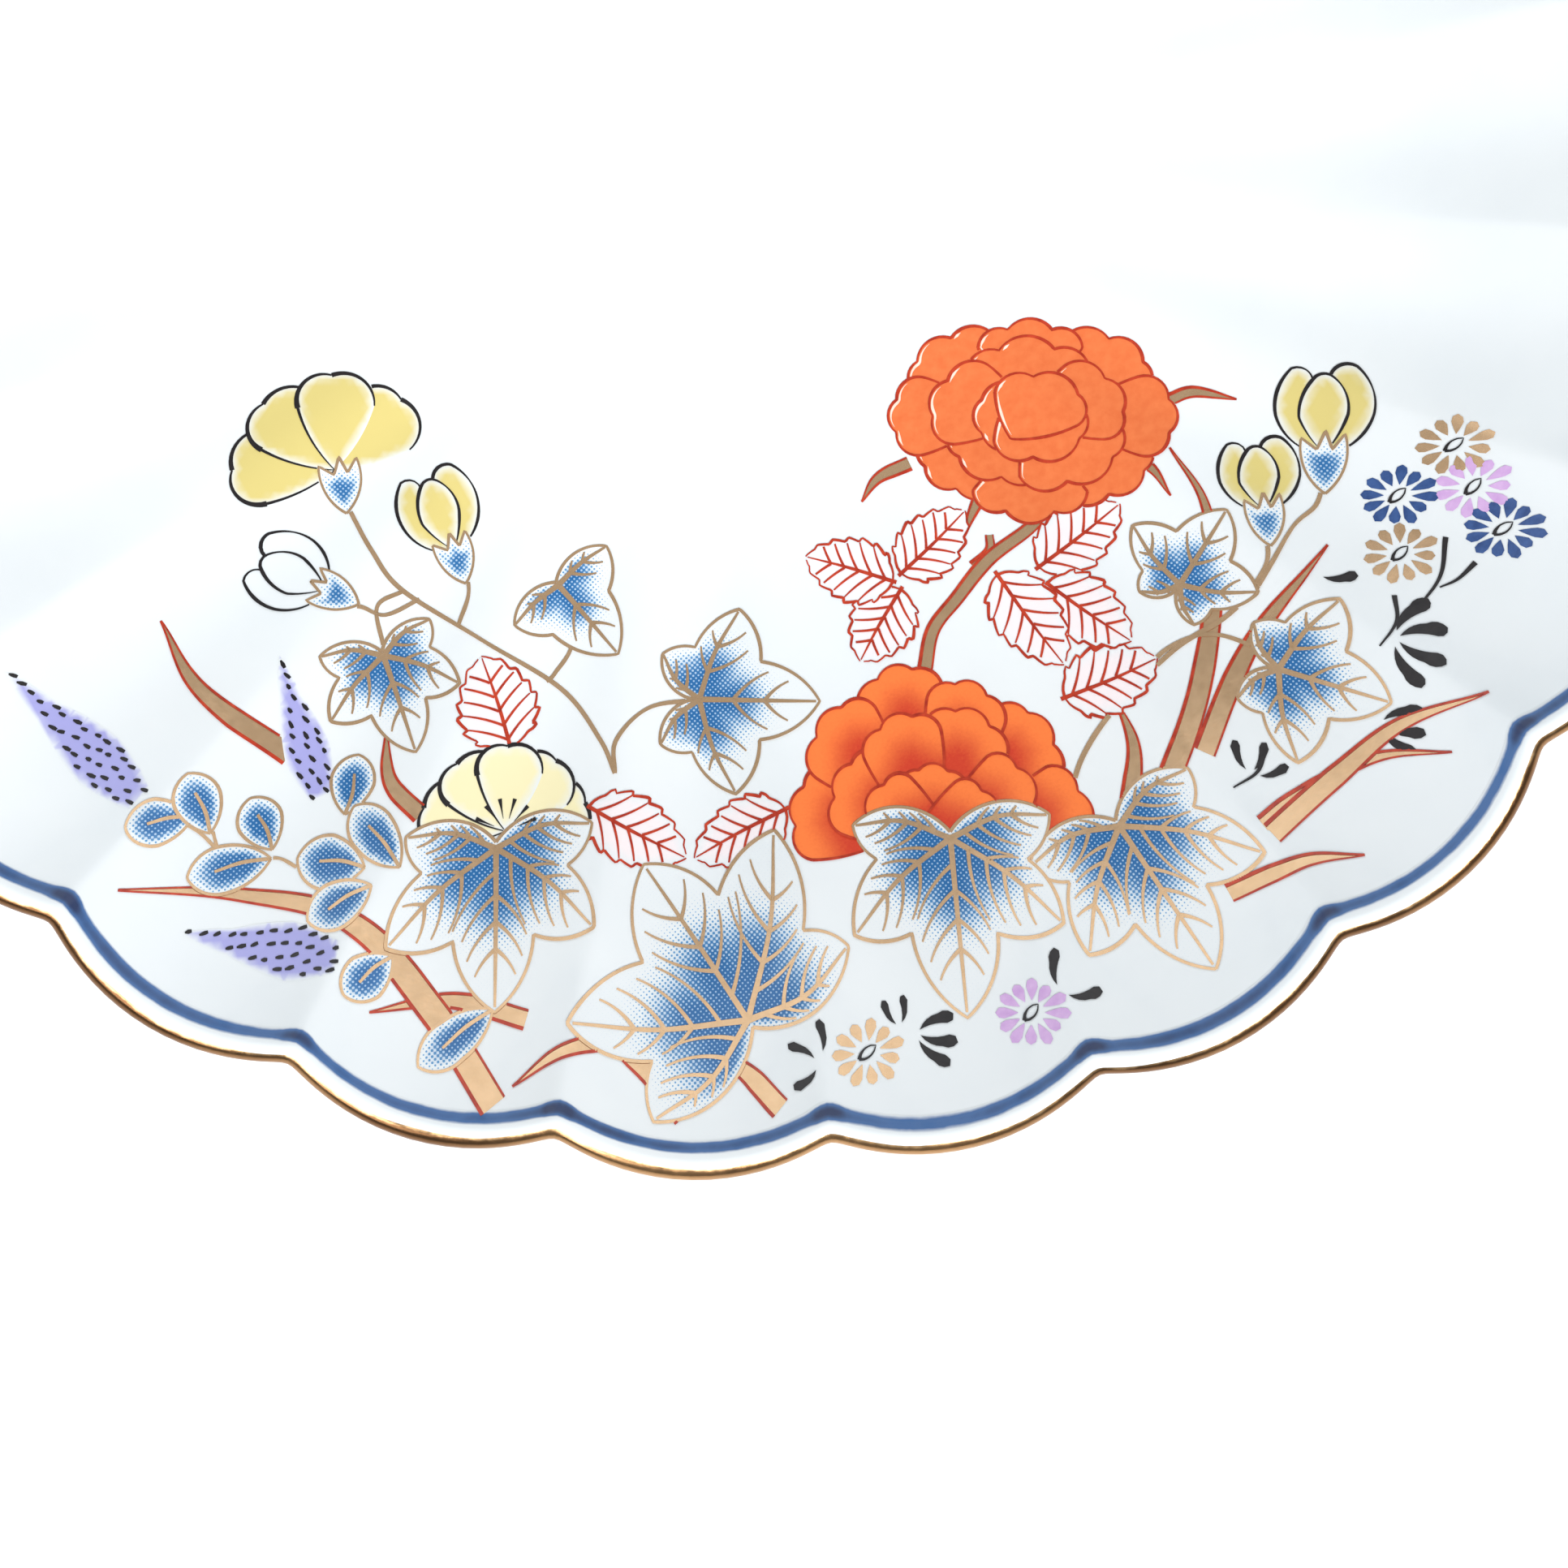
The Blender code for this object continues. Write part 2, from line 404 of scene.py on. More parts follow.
def arc(start, end, bulge):
    """Points along an arc that swings to the right of its chord by bulge times half the chord."""
    start = np.asarray(start, float)
    end = np.asarray(end, float)
    chord = end - start
    length = math.hypot(*chord)
    count = max(2, int(length * (1.0 + bulge * bulge) / (2.0 * LINE_STEP)))
    share = np.linspace(0.0, 1.0, count, endpoint=False)[:, None]
    if abs(bulge) < 0.01:
        return start + chord * share
    left = np.array([-chord[1], chord[0]]) / length
    centre = (start + end) / 2.0 + left * length * (1.0 - bulge * bulge) / (4.0 * bulge)
    sweep = 4.0 * math.atan(bulge)
    first = math.atan2(*(start - centre)[::-1])
    angle = first + sweep * share
    radius = length * (1.0 + bulge * bulge) / (4.0 * abs(bulge))
    return centre + radius * np.hstack([np.cos(angle), np.sin(angle)])


def area(points):
    """Signed area of a closed line."""
    after = np.roll(points, -1, axis=0)
    return float(np.sum(points[:, 0] * after[:, 1] - after[:, 0] * points[:, 1])) / 2.0


def outline(points, bulges):
    """A closed line of arcs. A positive bulge swings outward."""
    points = np.asarray(points, float)
    side = 1.0 if area(points) > 0.0 else -1.0
    if not isinstance(bulges, (tuple, list)):
        bulges = [bulges] * len(points)
    parts = [arc(points[i], points[(i + 1) % len(points)], side * b) for i, b in enumerate(bulges)]
    return np.vstack(parts)


def curve(points):
    """A smooth open line through points."""
    points = np.asarray(points, float)
    padded = np.vstack([2.0 * points[0] - points[1], points, 2.0 * points[-1] - points[-2]])
    parts = []
    for a, b, c, d in zip(padded, padded[1:], padded[2:], padded[3:]):
        t = np.linspace(0.0, 1.0, 14, endpoint=False)[:, None]
        parts.append(0.5 * (2 * b + (c - a) * t + (2 * a - 5 * b + 4 * c - d) * t ** 2
                            + (3 * b - a - 3 * c + d) * t ** 3))
    return even(np.vstack(parts + [points[-1:]]))


def even(line):
    """The same line with evenly spaced points."""
    line = np.asarray(line, float)
    along = np.concatenate([[0.0], np.cumsum(np.hypot(*np.diff(line, axis=0).T))])
    count = max(2, int(round(along[-1] / LINE_STEP)) + 1)
    marks = np.linspace(0.0, along[-1], count)
    return np.stack([np.interp(marks, along, part) for part in line.T], axis=1)


def closed(line):
    """A closed line with its first point again at the end."""
    return np.vstack([line, line[:1]])


def left_of(line):
    """The unit vector to the left at each point of a line."""
    along = np.gradient(line, axis=0)
    along /= np.maximum(np.hypot(*along.T), 1e-9)[:, None]
    return np.stack([-along[:, 1], along[:, 0]], axis=1)


def brushed(width, shape, count):
    """Half the width of a line that swells and thins by a shape, at each of its points."""
    share = np.linspace(0.0, 1.0, count)
    return width / 2.0 * np.interp(share, np.linspace(0.0, 1.0, len(shape)), shape)[:, None]


def inside(points, line):
    """Which points lie inside a closed line."""
    x, y = points.T[:, :, None]
    after = np.roll(line, -1, axis=0)
    rise = after[:, 1] - line[:, 1]
    rise = np.where(np.abs(rise) < 1e-12, 1e-12, rise)
    crosses = (line[:, 1] > y) != (after[:, 1] > y)
    at = line[:, 0] + (y - line[:, 1]) * (after[:, 0] - line[:, 0]) / rise
    return (np.sum(crosses & (x < at), axis=1) % 2) == 1


def distance(points, line):
    """How far each point is from a line."""
    gaps = points[:, None, :] - line[None, :, :]
    return np.sqrt(np.min(np.sum(gaps * gaps, axis=2), axis=1))


def turned(points, origin, direction):
    """Local points, whose +Y runs along a direction, set at an origin."""
    direction = np.asarray(direction, float) / math.hypot(*direction)
    side = np.array([direction[1], -direction[0]])
    points = np.asarray(points, float)
    return np.asarray(origin, float) + points[:, :1] * side + points[:, 1:] * direction


# ------------ films and brush lines

FILM_LIFT = 0.05
LINE_LIFT = 0.12
GRID = 1.0
CREASE_START = 76.0
covered = []
sheets = {}


def gather(name, ink, plan, lift, faces, tone=None):
    """Lay faces and the points they use on the glaze, and add them to a piece."""
    if not faces:
        return
    used = sorted({i for face in faces for i in face})
    plan = plan[used]
    points, normals = on_glaze(plan, lift)
    tones = np.ones(len(points)) if tone is None else tone(plan)
    empty = {"ink": ink, "points": [], "normals": [], "faces": [], "tones": [], "count": 0}
    sheet = sheets.setdefault(name + "_" + ink, empty)
    where = {old: sheet["count"] + new for new, old in enumerate(used)}
    sheet["points"].append(points)
    sheet["normals"].append(normals)
    sheet["faces"] += [tuple(where[i] for i in face) for face in faces]
    sheet["tones"].append(tones)
    sheet["count"] += len(points)


def masks_over(line):
    """The nearer shapes whose boxes overlap a line's."""
    return [m for m in covered if (m.min(0) < line.max(0)).all() and (m.max(0) > line.min(0)).all()]


def crease_rays(line):
    """Lines along the creases under the cusps that a shape lies over."""
    radii = np.hypot(*line.T)
    angles = np.arctan2(line[:, 1], line[:, 0])
    rays = []
    if radii.max() < CREASE_START:
        return rays
    along = np.arange(max(radii.min() - 1.0, CREASE_START), radii.max() + 1.0, GRID)[:, None]
    for lobe in range(LOBES):
        cusp = (lobe + 0.5) * 2.0 * HALF_LOBE - math.pi
        for shift in (-1.0, 0.0, 1.0):
            angle = cusp + shift * CUSP_SOFTNESS * 1.5
            if angles.min() < angle < angles.max():
                rays.append(along * unit(angle))
    return rays


def has_area(plan, cell):
    """Whether a triangle is more than a sliver."""
    a, b, c = plan[cell]
    return (b[0] - a[0]) * (c[1] - a[1]) - (b[1] - a[1]) * (c[0] - a[0]) > 1e-7


def film(name, ink, line, tone=None, lift=FILM_LIFT):
    """Cover a plan shape with a sheet of colour that follows the glaze and stops at what lies over it."""
    low = line.min(0)
    high = line.max(0)
    over = masks_over(line)
    spots = [(x + (row % 2) * GRID / 2.0, y)
             for row, y in enumerate(np.arange(low[1] + 0.1, high[1], GRID * 0.87))
             for x in np.arange(low[0] + 0.1, high[0], GRID)]
    points = [*line, *spots]
    edges = [(i, (i + 1) % len(line)) for i in range(len(line))]
    for mask in over:
        start = len(points)
        points += [*mask]
        edges += [(start + i, start + (i + 1) % len(mask)) for i in range(len(mask))]
    for ray in crease_rays(line):
        edges += [(len(points) + i, len(points) + i + 1) for i in range(len(ray) - 1)]
        points += [*ray]
    flat, _, cells, _, _, _ = delaunay_2d_cdt([Vector(p) for p in points], edges, [], 0, 1e-4, False)
    plan = np.array([tuple(p) for p in flat])
    cells = np.array(cells)
    middle = plan[cells].mean(axis=1)
    shown = inside(middle, line)
    for mask in over:
        shown &= ~inside(middle, mask)
    gather(name, ink, plan, lift, [cell for cell in cells[shown].tolist() if has_area(plan, cell)], tone)


def stroke(name, ink, line, width, shape=(0.6, 1.0, 0.4), within=None, lift=LINE_LIFT, hide=True):
    """Lay a brush line whose width swells and thins along it."""
    line = even(line)
    count = len(line)
    side = left_of(line) * brushed(width, shape, count)
    shown = np.ones(count, bool) if within is None else inside(line, within)
    for mask in masks_over(line) if hide else []:
        shown &= ~inside(line, mask)
    faces = [(count + i, count + i + 1, i + 1, i) for i in range(count - 1) if shown[i] and shown[i + 1]]
    gather(name, ink, np.vstack([line + side, line - side]), lift, faces)


def soft_edge(line, reach, top=1.0):
    """A tone that is nothing at a shape's edge and full a little way in."""
    return lambda plan: top * smooth_step(0.0, reach, distance(plan, line))


# ------------ the motifs


def span(start, end):
    """The way from one place to another, and its length."""
    run = np.subtract(end, start)
    return run, math.hypot(*run)


def fan(count, spacing):
    """Turns, in degrees, spread evenly about 0."""
    return [(k - (count - 1) / 2.0) * spacing for k in range(count)]


LARGE_LEAF = 15.0
SCREEN_REACH = 0.60


def lobed_leaf(name, base, heading, size, spacing=50, lobes=5):
    """A gold-lined leaf of pointed lobes fanned from its base, veined in gold, with a blue screen."""
    base = np.array(base, float)
    turns = fan(lobes, spacing)
    tips = []
    for turn in turns:
        uneven = 1.0 + 0.06 * math.sin(0.05 * turn + heading)
        length = size * (0.68 + 0.32 * math.cos(math.radians(turn))) * uneven
        tips.append(base + toward(heading + turn + 3.0 * math.sin(turn + heading)) * length)
    points = [base - toward(heading) * 0.04 * size]
    for turn, tip, after in zip(turns, tips, tips[1:] + tips[-1:]):
        points.append(tip)
        if turn != turns[-1]:
            depth = 0.33 * (np.hypot(*(tip - base)) + np.hypot(*(after - base)))
            points.append(base + toward(heading + turn + spacing / 2.0) * depth)
    edge = outline(points, [0.42] + [0.24] * (len(points) - 2) + [0.42])
    ends = [base + (tip - base) * 0.30 for tip in tips] + [base + (edge.mean(axis=0) - base) * 0.70]
    heart = np.vstack([even([base, end]) for end in ends])

    def tone(plan):
        near = distance(plan, heart) / (size * SCREEN_REACH)
        return smooth_step(0.72, 0.0, near) * smooth_step(0.0, 1.2, distance(plan, edge))

    film(name, "blue", edge, tone)
    stroke(name, "gold", closed(edge), 0.46, (0.9, 0.7, 1.0, 0.7, 1.0, 0.7, 0.9))
    steps = (0.16, 0.32, 0.48, 0.66) if size > LARGE_LEAF else (0.30, 0.58)
    for order, tip in enumerate(tips):
        run, length = span(base, tip)
        across = np.array([-run[1], run[0]]) / length
        bend = 0.05 * length * (order - (len(tips) - 1) / 2.0)
        vein = curve([base, base + run * 0.5 + across * bend, base + run * 0.97])
        stroke(name, "gold", vein, 0.60, (1.2, 0.9, 0.5), within=edge)
        for step, share in enumerate(steps):
            root = vein[int(share * (len(vein) - 1))]
            for side in (-1.0, 1.0):
                if (step + (side > 0)) % 2 and share < 0.2:
                    continue
                away = run / length * 0.80 + across * side * 0.60
                end = root + away * min(0.86 * run_to(root, away, edge), length * (0.62 - 0.36 * share))
                stroke(name, "gold", arc(root, end, -0.16 * side), 0.42, (1.2, 0.8, 0.5), within=edge)
    covered.append(edge)


def run_to(start, way, edge):
    """How far a line goes from a point before it first leaves a closed line."""
    steps = np.arange(0.0, 40.0, LINE_STEP)
    out = ~inside(start + steps[:, None] * way, edge)
    return float(steps[np.argmax(out)])


def serrated_leaf(name, base, tip, width, pairs=5):
    """A red-lined leaf with toothed sides, a midrib, slanting veins and a breath of pink."""
    run, length = span(base, tip)
    share = np.linspace(0.0, 1.0, 56)
    half = width / 2.0 * np.sin(math.pi * share ** 0.80) ** 0.70 * (1.0 - 0.1 * share)
    teeth = 0.085 * width * ((share * 6.5) % 1.0) * (share > 0.10) * (share < 0.95)
    right = np.stack([half + teeth, share * length], axis=1)
    left = right[::-1][1:-1] * (-1.0, 1.0)
    edge = turned(np.vstack([right, left]), base, run)
    film(name, "pink", edge, soft_edge(edge, 1.5, 0.8))
    stroke(name, "red", turned(right, base, run), 0.42, (0.5, 1.0, 0.6, 0.9, 0.4))
    back = np.vstack([left, right[:1]])[::-1]
    stroke(name, "red", turned(back, base, run), 0.42, (0.9, 0.5, 1.0, 0.6, 0.4))
    rib = turned([(0.0, -0.04 * length), (0.02 * width, 0.5 * length), (0.0, 0.98 * length)], base, run)
    stroke(name, "red", curve(rib), 0.50, (1.0, 0.8, 0.3))
    middle = np.add(base, run * 0.5)
    margin = middle + (edge - middle) * 0.92
    for pair in range(pairs):
        start = (0.08 + 0.78 * pair / pairs) * length
        for side in (-1.0, 1.0):
            end = (side * width * 0.62, start + 0.24 * length + 0.05 * width)
            vein = turned(arc((0.0, start), end, -0.1 * side), base, run)
            stroke(name, "red", vein, 0.34, (1.0, 0.8, 0.4), within=margin)
    covered.append(edge)


def oval_leaf(name, base, tip, width):
    """A small oval leaf: a blue screen inside a gold line, with a short midrib."""
    run, length = span(base, tip)
    local = [(0.0, 0.0), (width / 2.0, 0.55 * length), (0.0, length), (-width / 2.0, 0.55 * length)]
    edge = outline(turned(local, base, run), (0.22, 0.36, 0.36, 0.22))
    tail = even([base, np.add(base, run) * 0.55 + np.asarray(base) * 0.45])

    def tone(plan):
        near = smooth_step(0.62 * width, 0.10 * width, distance(plan, tail))
        return (0.50 + 0.5 * near) * smooth_step(0.0, 1.1, distance(plan, edge))

    film(name, "blue", edge, tone)
    stroke(name, "gold", closed(edge), 0.40, (0.7, 1.0, 0.7, 1.0, 0.7))
    rib = turned([(0.0, 0.0), (0.06 * width, 0.35 * length), (0.0, 0.68 * length)], base, run)
    stroke(name, "gold", curve(rib), 0.46, (0.9, 1.0, 0.7))
    covered.append(edge)


def blade(name, points, width, shape=(0.05, 0.6, 0.95, 1.0)):
    """A gold blade of grass from its tip to its foot, with a red line down each side."""
    middle = curve(points)
    side = left_of(middle) * brushed(0.84 * width, shape, len(middle))
    left = middle + side
    right = middle - side
    edge = np.vstack([left, right[::-1]])
    film(name, "gold", edge)
    stroke(name, "red", left, 0.30, (0.5, 1.0, 0.8))
    stroke(name, "red", right, 0.44, (0.5, 0.8, 1.0))
    covered.append(edge)


def peony(name, ink, heart, size, rings, deepening):
    """Scalloped petals in rings about a heart, inner ones in front: shaded, or flat with lit rims."""
    for count, outer, first, step in rings:
        for k in (*range(0, count, 2), *range(1, count, 2)):
            turn = first + step * k
            swell = outer * (1.0 + 0.05 * math.sin(2.1 * k + 7.0 * outer))
            crown = [heart + toward(turn + 1.24 * step * share) * size * swell * (1.0 - 0.55 * share * share)
                     for share in (0.5, 0.18, -0.18, -0.5)]
            bulges = [0.52] * (len(crown) - 1) + [0.14, 0.14]
            edge = outline(crown + [heart + toward(turn) * size * (swell - 0.70)], bulges)
            top = np.vstack([even([a, b]) for a, b in zip(crown, crown[1:])])
            film(name, ink, edge, lambda plan: deepening * smooth_step(0.2, 5.0, distance(plan, top)))
            stroke(name, "red", closed(edge), 0.40, (0.9, 0.6, 1.1, 0.7, 1.0, 0.6, 0.9))
            if not deepening:
                rim_light(name, edge)
            covered.append(edge)


def rim_light(name, edge):
    """A pale crescent just inside the stretches of an edge that face left."""
    line = even(closed(edge))
    out = left_of(line) * (-1.0 if area(edge) > 0.0 else 1.0)
    lit = np.flatnonzero(out @ np.array([-0.93, 0.15]) > 0.62)
    for run in np.split(lit, np.flatnonzero(np.diff(lit) > 1) + 1):
        if len(run) > 4:
            light = line[run] - out[run] * 0.36
            stroke(name, "blush", light, 0.36, (0.1, 1.0, 0.1), within=edge, lift=LINE_LIFT - 0.03)


def calyx(name, base, tip, size):
    """A small crown of three points under a flower, gold-lined with a blue screen."""
    local = np.array([(0, -0.90), (0.60, 0.10), (0.56, 0.85), (0.22, 0.40), (0.04, 0.95), (-0.20, 0.40),
                      (-0.62, 0.75), (-0.60, 0.05)]) * size
    edge = outline(turned(local, base, np.subtract(tip, base)), (0.18, 0.1, 0.0, 0.0, 0.0, 0.0, 0.1, 0.18))
    film(name, "blue", edge, lambda plan: 0.9 * smooth_step(0.0, 1.3, distance(plan, edge)))
    stroke(name, "gold", closed(edge), 0.38, (0.9, 0.7, 1.0, 0.7, 0.9))
    covered.append(edge)


def bud(name, base, tip, width, ink="yellow"):
    """A half-open bud: a middle petal with one to each side, brushed in black."""
    run, length = span(base, tip)
    calyx(name, np.subtract(base, run / length), tip, 0.38 * width)
    front = [(0.0, 0.02), (0.24, 0.45), (0.10, 0.86), (-0.12, 0.84), (-0.26, 0.42)]
    left = [(0.0, 0.0), (-0.12, 0.84), (-0.34, 0.97), (-0.50, 0.45)]
    right = [(0.0, 0.0), (0.50, 0.45), (0.34, 0.98), (0.06, 0.88)]
    for points, bulges in ((front, (0.1, 0.25, 0.5, 0.2, 0.1)), (left, (0.0, 0.5, 0.25, 0.3)),
                           (right, (0.3, 0.25, 0.5, 0.0))):
        edge = outline(turned(np.array(points) * (width, length), base, run), bulges)
        if ink:
            film(name, ink, edge, soft_edge(edge, 1.1))
        stroke(name, "black", edge, 0.36, (0.2, 1.1, 0.5, 1.3, 0.8, 0.2))
        covered.append(edge)


BRUSH = (1.15, 0.9, 0.75, 0.6, 0.35)


def blossom(name, ink, base, heading, size, petals, spacing):
    """A flower seen from the side: notched petals fanned from its base, brushed round in black."""
    shape = np.array([(0.0, 0.0), (-0.34, 0.60), (-0.03, 0.92), (0.37, 0.62)]) * size
    for turn in sorted(fan(petals, spacing), key=abs):
        corners = turned(shape, base, toward(heading + turn))
        edge = outline(corners, (0.12, 0.62, 0.55, 0.12))
        film(name, ink, edge, soft_edge(edge, 0.9))
        for start, bulge, width in ((0, 0.12, 0.32), (1, 0.62, 0.60), (2, 0.55, 0.50)):
            end = corners[start + 1]
            line = np.vstack([arc(corners[start], end, -bulge), [end]])
            stroke(name, "black", line if start else line[::-1], width, BRUSH)
        covered.append(edge)


DAISY_HALF = (4.2, 3.5)


def daisy(name, centre, ink, tilt, count):
    """A small daisy of separate petals round an eye with a black rim."""
    turn = math.radians(tilt)
    axes = np.array([[math.cos(turn), math.sin(turn)], [-math.sin(turn), math.cos(turn)]])
    for k in range(count):
        way = unit(2.0 * math.pi * (k + 0.3) / count)
        side = np.array([-way[1], way[0]])
        long = 1.0 + 0.12 * math.sin(3.0 * k + len(name))
        waist = way * 0.74 * long
        shape = np.array([way * 0.36, waist + side * 0.16, way * long, waist - side * 0.16])
        edge = outline(shape * DAISY_HALF @ axes + centre, (0.05, 0.45, 0.45, 0.05))
        film(name, ink, edge, lift=LINE_LIFT - 0.04)
    eye = np.array([(-1.1, -0.55), (1.1, 0.6)]) @ axes + centre
    stroke(name, "black", closed(outline([eye[0], eye[1]], 0.42)), 0.26, (1.8, 0.7, 0.5, 0.8, 1.2))


def leaflet(name, tail, head, width, side):
    """One press of a loaded brush: a thin tail that swells, with a curved back, to a blunt head."""
    run, length = span(tail, head)
    local = np.array([(0.0, 0.0), (0.62, 0.60), (0.15, 1.0), (-0.36, 0.76)]) * (side * width, length)
    edge = outline(turned(local, tail, run), (0.24, 0.36, 0.55, -0.14))
    film(name, "black", edge, lift=LINE_LIFT)


def spray(name, root, heading, spacing, count, length=4.4):
    """Brush leaves fanned from a root, their backs turned outward."""
    for turn in fan(count, spacing):
        way = toward(heading + turn)
        tail = np.asarray(root, float) + way * 1.2
        leaflet(name, tail, tail + way * length, 0.31 * length, -1.0 if turn > 0.0 else 1.0)


def spike(name, tip, foot, width, seed):
    """A lavender spike: a soft tapering wash with dark dashes scattered over it."""
    run, length = span(tip, foot)
    local = np.array([(0.0, 0.0), (0.24, 0.3), (0.5, 0.72), (0.22, 1.0), (-0.28, 0.98), (-0.46, 0.66),
                      (-0.18, 0.3)]) * (width, length)
    edge = outline(turned(local, tip, run), 0.06)
    film(name, "lavender", edge, soft_edge(edge, 0.55))
    chance = random.Random(seed)
    rows = int(length / 1.45)
    for row in range(rows):
        along = (row + 0.4) / rows
        wide = width * float(np.interp(along, (0.0, 0.3, 0.72, 1.0), (0.05, 0.42, 0.94, 0.5)))
        across = max(1, int(round(wide / 1.5)))
        for k in range(across):
            spot = ((k + 0.5) / across - 0.5) * wide + chance.uniform(-0.15, 0.15)
            spot += 0.35 * (row % 2) * (across > 1)
            start = np.array([spot, along * length + chance.uniform(-0.2, 0.2)])
            end = start + (chance.uniform(-0.5, -0.15), chance.uniform(0.65, 1.05))
            stroke(name, "black", turned([start, end], tip, run), 0.5, (0.4, 1.0, 0.7))
    covered.append(edge)


def stem(name, points, width=0.55):
    """A thin gold stem."""
    stroke(name, "gold", curve(points), width, (0.9, 1.0, 0.8, 1.0, 0.9))


# ------------ the layout, nearest pieces first


def leaves():
    """The broad leaves in front of everything, along the lower wall, then the small ones higher up."""
    lobed_leaf("leaf_a", (-25, -89), 273, 18)
    lobed_leaf("leaf_c", (30, -87), 272, 19)
    lobed_leaf("leaf_b", (6, -108), 130, 23, 48)
    lobed_leaf("leaf_d", (50, -85), 302, 18)
    lobed_leaf("leaf_e", (-40, -66), 290, 12, 54)
    lobed_leaf("leaf_f", (-19, -57), 310, 11, 88, 3)
    lobed_leaf("leaf_g", (-1, -71), 0, 15, 64)
    lobed_leaf("leaf_h", (58, -56), 60, 11, 66)
    lobed_leaf("leaf_i", (69, -66), 345, 13, 64)


def flowers():
    """The yellow blossoms and buds, and the peonies: a shaded one behind the leaves, a flat one above."""
    bud("bud_left", (-32, -53), (-36, -43), 9.6)
    bud("bud_white", (-47, -58), (-56, -54), 9.4, ink=None)
    bud("bud_right_high", (75, -40), (75, -29), 11)
    bud("bud_right_low", (68, -47), (67, -38), 9.4)
    calyx("blossom", (-46, -45), (-47, -40), 3.9)
    blossom("blossom", "yellow", (-47, -43), 114, 13, 4, 44)
    blossom("blossom_half", "pale_yellow", (-24, -87), 90, 11, 5, 36)
    for turn in fan(6, 27):
        way = toward(90 + turn)
        dash = [(-24, -87) + way * 1.5, (-24, -87) + way * 3.9]
        stroke("blossom_half", "black", dash, 0.5, (0.1, 0.4, 1.0), hide=False)
    peony("peony_low", "deep_orange", np.array([28, -88]), np.array([18, 21]),
          ((3, 0.46, 32, 58), (4, 0.76, 30, 40), (6, 1.0, 12, 31)), 1.0)
    peony("peony_high", "orange", np.array([40, -35]), np.array([17, 12]),
          ((3, 0.42, 60, 120), (5, 0.72, 20, 72), (8, 1.0, 0, 45)), 0.0)


def red_leaves():
    """The toothed leaves, in sprays and singly."""
    for number, (base, tip, width) in enumerate((
        ((-24, -77), (-28, -66), 9.0), ((-14, -84), (-2, -90), 7.6), ((10, -84), (-1, -90), 7.2),
        ((23, -56), (12, -53), 7.6), ((24, -55), (32, -47), 7.4), ((24, -57), (19, -66), 7.8),
        ((36, -55), (44, -66), 7.8), ((42, -56), (52, -63), 7.8), ((41, -54), (51, -46), 7.6),
        ((44, -70), (55, -65), 7.8),
    )):
        serrated_leaf("red_leaf_%d" % (number + 1), base, tip, width)


def small_leaves():
    """The oval leaves of the two low sprays on the left."""
    for number, (base, tip, width) in enumerate((
        ((-39, -93), (-46, -97), 5.2), ((-40, -91), (-48, -90), 6.2), ((-36, -91), (-42, -84), 5.2),
        ((-43, -85), (-42, -78), 5.2), ((-51, -90), (-60, -92), 5.4), ((-51, -89), (-54, -83), 5.0),
        ((-58, -87), (-61, -80), 5.0), ((-60, -85), (-67, -86), 5.4), ((-36, -101), (-41, -105), 5.4),
        ((-24, -107), (-32, -113), 4.8),
    )):
        oval_leaf("small_leaf_%d" % (number + 1), base, tip, width)
    for points in ([(-62, -85), (-59, -87), (-57, -89)], [(-58, -86), (-57, -89)],
                   [(-52, -90), (-50, -90), (-48, -91)]):
        stem("small_stem", points, 0.42)


def stems():
    """The gold stems, and the thicker one that carries the peonies."""
    stem("main_stem", [(-45, -48), (-42, -53), (-38, -58), (-28, -64), (-18, -70), (-13, -76),
                       (-11, -80)], 0.60)
    for points in ([(-31, -54), (-30, -58), (-31, -62)], [(-46, -60), (-43, -60), (-40, -61), (-36, -59)],
                   [(-40, -65), (-41, -60), (-38, -58)], [(-19, -58), (-17, -64), (-19, -68), (-20, -69)],
                   [(0, -71), (-7, -72), (-11, -76), (-11, -80)]):
        stem("main_stem", points)
    stem("right_stem", [(75, -42), (74, -46), (71, -49), (67, -56)])
    stem("right_stem", [(68, -50), (68, -53), (66, -57)])
    stem("right_stem", [(67, -56), (63, -60), (57, -64), (50, -71), (46, -77), (44, -83)], 0.65)
    stem("right_stem", [(70, -65), (62, -62), (56, -64), (52, -69)])
    blade("peony_stem", [(42, -43), (41, -48), (35, -53), (31, -58), (28, -62), (27, -67)], 1.9,
          (0.6, 0.9, 1.0, 0.9, 1.0))
    blade("peony_stem", [(35, -50), (35, -52), (33, -54)], 1.3, (0.8, 0.9, 1.0))


